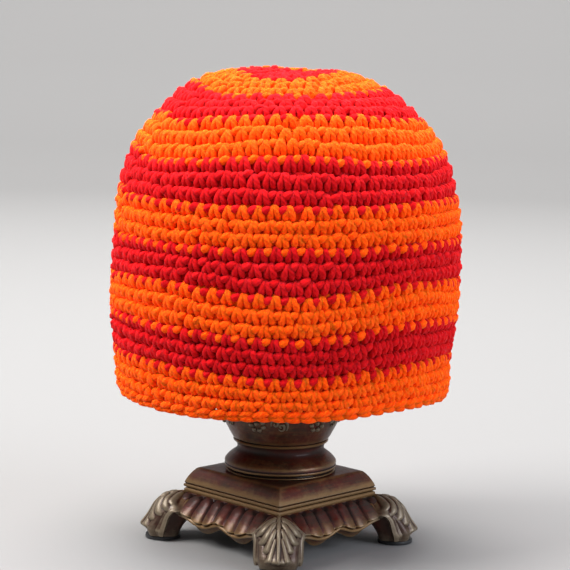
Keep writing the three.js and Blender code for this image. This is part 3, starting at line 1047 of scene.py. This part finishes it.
def wood_material(name, color):
    """Plain turned wood with wavy grain."""
    board = NodeBoard(name)
    place = board.place()
    warp = board.noise(place, 25.0, detail=3)
    inputs = {"Vector": place, "Scale": 60.0, "Distortion": 3.0, "Detail": 3.0, "Detail Scale": 1.5}
    grain = board.node("TexWave", inputs, bands_direction="X").outputs["Fac"]
    tone = board.total((grain, 0.6), (warp, 0.4))
    return board.finish({
        "Base Color": board.ramp(tone, (0.2, tinted(color, 0.55)), (0.8, tinted(color, 1.25))),
        "Roughness": board.total((warp, 0.2), start=0.45),
        "Normal": board.bump(grain, 0.15, 0.0003),
    })


def floor_material(name, color):
    """Plain matt studio paper."""
    inputs = {"Base Color": (*color, 1), "Roughness": 0.9, "Specular IOR Level": 0.1}
    return NodeBoard(name).finish(inputs)


class HAT_OT_stripes(bpy.types.Operator):
    """Crochet the ten stripes, each one mesh of strands over a thin wall"""

    bl_idname = "crochet_hat.stripes"
    bl_label = "Stripes"

    def execute(self, context):
        sizes = context.scene.hat_sizes
        looks = context.scene.yarn_looks
        red = yarn_material("red_yarn", tuple(looks.red), looks.fuzz)
        orange = yarn_material("orange_yarn", tuple(looks.orange), looks.fuzz)
        for number, node in enumerate(STRIPES):
            last = (number + 1) * STRIPE_ROUNDS
            piece = crochet_stripe(sizes, "stitched_" + node, last - STRIPE_ROUNDS + 1, last)
            yarn, slot = ((red, "yarn_red"), (orange, "yarn_orange"))[number % 2]
            dress(piece, yarn, slot, node)
        return {"FINISHED"}


class HAT_OT_rim(bpy.types.Operator):
    """Crochet the chain of links that edges the rim"""

    bl_idname = "crochet_hat.rim"
    bl_label = "Rim Chain"

    def execute(self, context):
        sizes = context.scene.hat_sizes
        pile = MeshPile()
        number = LAST_ROUND + 1
        generator = np.random.default_rng(100 + number)
        crochet(pile, sizes, generator, number, (RIM_UPPER, RIM_LOWER), rings=9, sides=8)
        crochet(pile, sizes, generator, number, (RIM_INNER,), rings=5, sides=6)
        piece = pile.piece("stitched_rim_edging")
        dress(piece, bpy.data.materials["orange_yarn"], "yarn_orange", "rim_edging")
        return {"FINISHED"}


class HAT_OT_base(bpy.types.Operator):
    """Turn out the square plate, its ribbed skirt and the panel under it"""

    bl_idname = "crochet_hat.base"
    bl_label = "Plate and Skirt"

    def execute(self, context):
        sizes = context.scene.stand_sizes
        bronze_material("antique_bronze", context.scene.stand_looks)
        rows = [
            (share * sizes.half_diagonal, sizes.plate_underside + up * MM)
            for share, up in PLATE_ROWS
        ]
        plate = stack_rings("base_plate", 4, rows, cuts=PLATE_CUTS)
        shade(plate, 35)
        bevel = sizes.plate_underside / MM + BEVEL_START
        mark_wear_and_shade(plate, 1, band_gilt(0.34, middle=bevel, spread=2.0, ground=-0.06))
        dress_bronze(plate, "stand_base")

        reach = sizes.half_diagonal * PANEL_SHARE
        rows = [(reach, sizes.floor_height), (reach, sizes.floor_height + PANEL_THICKNESS * MM)]
        panel = stack_rings("base_underside", 4, rows, cuts=5)
        mark_wear_and_shade(panel)
        dress_bronze(panel, "stand_base")

        columns = RIBS_PER_SIDE * COLUMNS_PER_RIB + 1
        side = drape_grid("skirt", columns, SKIRT_GRID_ROWS, skirt_placer(sizes))
        thicken(side, SKIRT_THICKNESS)
        shade(side, 50)
        mark_wear_and_shade(side, 2, falling_gilt(0.48, top=23, depth=10, ground=-0.3))
        for piece in turned_copies(side, "skirt", SIDES):
            dress_bronze(piece, "stand_base")
        return {"FINISHED"}


def skirt_placer(sizes):
    """Places a grid as one side of the skirt, facing the front."""
    top = sizes.plate_underside / MM
    inner = sizes.half_diagonal / math.sqrt(2) / MM
    flare = sizes.skirt_flare / MM
    relief = sizes.rib_relief / MM
    wall_share = 1 - BAND_SHARE - BEAD_SHARE

    def place(x, y):
        low, band = smooth_columns(HEM_ROWS, np.abs(x))
        bead_top = low + band + BEAD_RISE
        down = (1 - y) / 2
        wall = np.clip(down / wall_share, 0, 1)
        out_share, up_share = profile_at(SKIRT_ROWS, 1 - wall)

        rib = (x + 1) / 2 * RIBS_PER_SIDE
        across = 2 * (rib - np.floor(rib)) - 1
        head = np.clip(1 - wall / RIB_HEAD, 0, 1)
        tail = np.clip(1 - (1 - wall) / RIB_TAIL, 0, 1)
        swell = np.sqrt(np.clip(1 - across**2 - head**2 - tail**2, 0, 1))
        out = inner + flare * out_share + relief * swell
        up = bead_top + (top - bead_top) * up_share

        turn = np.clip((down - wall_share) / BEAD_SHARE, 0, 1) * BEAD_TURN
        rolling = turn > 0
        rolled = BEAD_RADIUS * np.sin(turn) - BEAD_INSET * np.cos(turn)
        out = np.where(rolling, out + rolled, out)
        up = np.where(rolling, bead_top - BEAD_RADIUS * (1 - np.cos(turn)), up)

        tuck = np.clip((down - (1 - BAND_SHARE)) / BAND_SHARE, 0, 1)
        out = out - tuck * (BAND_TUCK + BAND_TUCK_SHARE * band)
        hanging = band + BEAD_RISE - 2 * BEAD_RADIUS + BAND_MORE
        up = up - tuck * np.maximum(hanging, BAND_LEAST)
        half = inner + flare * out_share.clip(-1, 1) * np.abs(x) ** FAN_POWER
        return np.stack([x * half, -out, up], axis=-1) * MM

    return place


class HAT_OT_feet(bpy.types.Operator):
    """Carve the four leaf feet, with the heels and the pads under them"""

    bl_idname = "crochet_hat.feet"
    bl_label = "Feet and Pads"

    def execute(self, context):
        sizes = context.scene.stand_sizes
        leaf = drape_grid("leaf", *LEAF_GRID, place_leaf)
        thicken(leaf, LEAF_THICKNESS)
        shade(leaf, 60)
        mark_wear_and_shade(leaf, gilt=0.17)
        heel = begin(bpy.ops.mesh.primitive_cube_add, "heel", size=2)
        bpy.ops.object.mode_set(mode="EDIT")
        bpy.ops.mesh.subdivide(number_cuts=HEEL_CUTS)
        bpy.ops.object.mode_set(mode="OBJECT")
        shape_heel(heel)
        shade(heel, 60)
        # The heel's ground of -0.1 darkens it away from the floor: painted shade where it sits back
        # under the leaf.
        mark_wear_and_shade(heel, 2, falling_gilt(0.12, top=9, depth=6, ground=-0.1))
        for part, name in ((leaf, "foot_leaf"), (heel, "foot_heel")):
            for piece in turned_copies(part, name, QUARTERS):
                dress_bronze(piece, "stand_base")

        rows = [(sizes.pad_radius - inset * MM, up * MM) for inset, up in PAD_ROWS]
        pad = stack_rings("pad", PAD_SIDES, rows)
        pad.data.transform(Matrix.Translation((0, -sizes.pad_reach, 0)))
        shade(pad, 50)
        rubber = rubber_material("foot_rubber")
        for (place, _), piece in zip(QUARTERS, turned_copies(pad, "pad", QUARTERS)):
            dress(piece, rubber, "pad_rubber", "foot_pad_" + place)
        return {"FINISHED"}


def foot_frame(down):
    """The foot line's points and outward normals, by millimetres down the line."""
    steps = np.linalg.norm(np.diff(FOOT_LINE, axis=0), axis=1)
    table = np.column_stack([np.concatenate([[0], np.cumsum(steps)]), FOOT_LINE])
    points = np.stack(smooth_columns(table, down), -1)
    ahead = np.stack(smooth_columns(table, down + 0.2), -1)
    behind = np.stack(smooth_columns(table, down - 0.2), -1)
    slope = unit(ahead - behind)
    return points, np.stack([-slope[:, 1], slope[:, 0]], -1)


def carve_leaf(across, down, half):
    """The height of a leaf's lobes, veins and raised edge, in millimetres."""
    carved = np.zeros_like(across)
    for (x0, y0), (x1, y1), width, height in LEAF_LOBES:
        dx, dy = x1 - x0, y1 - y0
        share = np.clip(((across - x0) * dx + (down - y0) * dy) / (dx * dx + dy * dy), 0, 1)
        away = np.hypot(across - x0 - share * dx, down - y0 - share * dy)
        size = width * (0.55 + 0.45 * np.sqrt(share)) if x1 else width * (1 - 0.35 * share)
        carved = np.maximum(carved, height * np.sqrt(np.clip(1 - (away / size) ** 2, 0, 1)))
    carved = carved * np.clip((LOBE_END - down) / LOBE_FADE, 0, 1)
    edge = half - across
    raised = EDGE_HEIGHT * np.exp(-(((edge - EDGE_PLACE) / EDGE_WIDTH) ** 2))
    return np.maximum(carved * np.clip((edge - EDGE_GROOVE) / EDGE_GROOVE, 0, 1), raised)


def place_leaf(x, y):
    """Places a grid as the leaf of the front foot."""
    length = np.sum(np.linalg.norm(np.diff(FOOT_LINE, axis=0), axis=1))
    down = (1 - y) / 2 * length
    points, normals = foot_frame(down)
    half, edge_distance, edge_height = smooth_columns(LEAF_ROWS, down)
    across = x * half
    proud = carve_leaf(np.abs(across), down, half) - LEAF_GROUND
    fall = np.abs(x) ** LEAF_FALL
    outward = normals[:, 0] * (1 - fall) + fall
    upward = normals[:, 1] * (1 - fall)
    out = points[:, 0] + outward * proud - (points[:, 0] - edge_distance) * fall
    up = points[:, 1] + upward * proud - (points[:, 1] - edge_height) * fall
    return np.stack([across, -out, up], axis=-1) * MM


def shape_heel(heel):
    """Shapes a subdivided cube as the heel of the front foot."""
    x, y, z = read_points(heel).T
    height, inner, outer, half = smooth_columns(HEEL_ROWS, (z + 1) / 2)
    out = (inner + outer) / 2 - (outer - inner) / 2 * y * (1 - HEEL_ROUND_ALONG * np.abs(x) ** 3)
    across = half * x * (1 - HEEL_ROUND_ACROSS * np.abs(y) ** 3)
    move_points(heel, np.stack([across, -out, height], axis=-1) * MM)
    settle(heel)


def cup_relief(name, rows):
    """Berries and scrolls that stand out of the cup, in units repeated round it."""
    pile = MeshPile()
    radii, heights = rows.T
    top = heights[0] + (heights[-1] - heights[0]) * RELIEF_TOP_SHARE
    for number in range(RELIEF_UNITS):
        start = RELIEF_START + number * 2 * math.pi / RELIEF_UNITS
        for shapes, offset, radius, out, swell, ends in RELIEF_KINDS:
            for shape in shapes:
                control = np.array(shape)
                azimuths = start + (control[:, 0] + offset) * MM / radii[-1]
                z = top - control[:, 1] * MM
                reach = np.interp(z, heights, radii) + out * MM
                path = np.stack([reach * np.sin(azimuths), -reach * np.cos(azimuths), z], axis=-1)
                normal = np.array([[math.sin(azimuths[0]), -math.cos(azimuths[0]), 0.0]])
                rings = 4 * len(shape)
                sweep(
                    pile, path[None], normal, np.full(1, radius * MM), rings, 8,
                    np.zeros(1), swell, ends,
                )
    return pile.piece(name)


class HAT_OT_stem(bpy.types.Operator):
    """Turn the stem with its cup, and finish the wooden rest inside the hat"""

    bl_idname = "crochet_hat.stem"
    bl_label = "Stem and Rest"

    def execute(self, context):
        sizes = context.scene.stand_sizes
        rows = [
            (share * sizes.cup_radius, sizes.stem_foot + up * sizes.stem_height)
            for share, up in STEM_ROWS
        ]
        stem = stack_rings("turned_stem", STEM_SIDES, rows)
        shade(stem, 40)
        mark_wear_and_shade(stem, smoothing=1)
        dress_bronze(stem, "stand_stem")
        relief = cup_relief("cup_relief", np.array(rows))
        mark_wear_and_shade(relief, smoothing=0, gilt=1.2)
        dress_bronze(relief, "stand_stem")
        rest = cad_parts["hat_rest"]
        rest.data.materials.clear()
        wood = wood_material("turned_wood", tuple(context.scene.stand_looks.wood))
        rest.data.materials.append(wood)
        return {"FINISHED"}


class HAT_OT_studio(bpy.types.Operator):
    """Set out the pale floor, the soft lights and the camera"""

    bl_idname = "crochet_hat.studio"
    bl_label = "Studio"

    def execute(self, context):
        looks = context.scene.studio_looks
        floor = stack_rings("studio_floor", 96, BACKDROP_ROWS, capped=False)
        pick(floor)
        bpy.ops.object.mode_set(mode="EDIT")
        bpy.ops.mesh.select_all(action="SELECT")
        bpy.ops.mesh.flip_normals()
        bpy.ops.object.mode_set(mode="OBJECT")
        shade(floor, 60)
        floor.data.materials.append(floor_material("studio_paper", tuple(looks.floor)))

        for name, place, target, size, color in LIGHTS:
            add_light(name + "_light", place, target, size, getattr(looks, name + "_power"), color)
        world = context.scene.world or bpy.data.worlds.new("studio_air")
        context.scene.world = world
        world.use_nodes = True
        air = world.node_tree.nodes["Background"]
        air.inputs["Color"].default_value = AIR_COLOR
        air.inputs["Strength"].default_value = AIR_STRENGTH

        data = bpy.data.cameras.new("photo_camera")
        data.lens = CAMERA_LENS
        data.sensor_width = CAMERA_SENSOR
        camera = bpy.data.objects.new("photo_camera", data)
        context.scene.collection.objects.link(camera)
        tip = Matrix.Rotation(math.pi / 2 + CAMERA_PITCH, 4, "X")
        roll = Matrix.Rotation(CAMERA_ROLL, 4, "Z")
        camera.matrix_world = Matrix.Translation(CAMERA_PLACE) @ tip @ roll
        context.scene.camera = camera
        context.scene.view_settings.view_transform = "Standard"
        return {"FINISHED"}


def add_light(name, place, target, size, power, color):
    """Adds a square light that faces a target."""
    data = bpy.data.lights.new(name, "AREA")
    data.shape = "SQUARE"
    data.size = size
    data.energy = power
    data.color = color
    light = bpy.data.objects.new(name, data)
    bpy.context.scene.collection.objects.link(light)
    light.location = place
    light.rotation_mode = "QUATERNION"
    light.rotation_quaternion = (target - light.location).to_track_quat("-Z", "Y")


class HAT_PT_maker(bpy.types.Panel):
    """Lists the makers of the hat's pieces and their sizes and colours"""

    bl_idname = "HAT_PT_maker"
    bl_label = "Crochet Hat"
    bl_space_type = "VIEW_3D"
    bl_region_type = "UI"
    bl_category = "Hat"

    def draw(self, context):
        for operator in OPERATORS:
            self.layout.operator(operator.bl_idname)
        for name, group in GROUPS:
            box = self.layout.box()
            box.label(text=group.__doc__.rstrip("."))
            for prop in group.__annotations__:
                box.prop(getattr(context.scene, name), prop)


GROUPS = (
    ("hat_sizes", HatSizes),
    ("yarn_looks", YarnLooks),
    ("stand_sizes", StandSizes),
    ("stand_looks", StandLooks),
    ("studio_looks", StudioLooks),
)
OPERATORS = (HAT_OT_stripes, HAT_OT_rim, HAT_OT_base, HAT_OT_feet, HAT_OT_stem, HAT_OT_studio)


def register():
    for name, group in GROUPS:
        bpy.utils.register_class(group)
        setattr(bpy.types.Scene, name, PointerProperty(type=group))
    for operator in OPERATORS:
        bpy.utils.register_class(operator)
    bpy.utils.register_class(HAT_PT_maker)


def unregister():
    bpy.utils.unregister_class(HAT_PT_maker)
    for operator in reversed(OPERATORS):
        bpy.utils.unregister_class(operator)
    for name, group in reversed(GROUPS):
        delattr(bpy.types.Scene, name)
        bpy.utils.unregister_class(group)


def main():
    register()
    bpy.ops.crochet_hat.stripes()
    bpy.ops.crochet_hat.rim()
    bpy.ops.crochet_hat.base()
    bpy.ops.crochet_hat.feet()
    bpy.ops.crochet_hat.stem()
    bpy.ops.crochet_hat.studio()


if __name__ == "__main__":
    main()
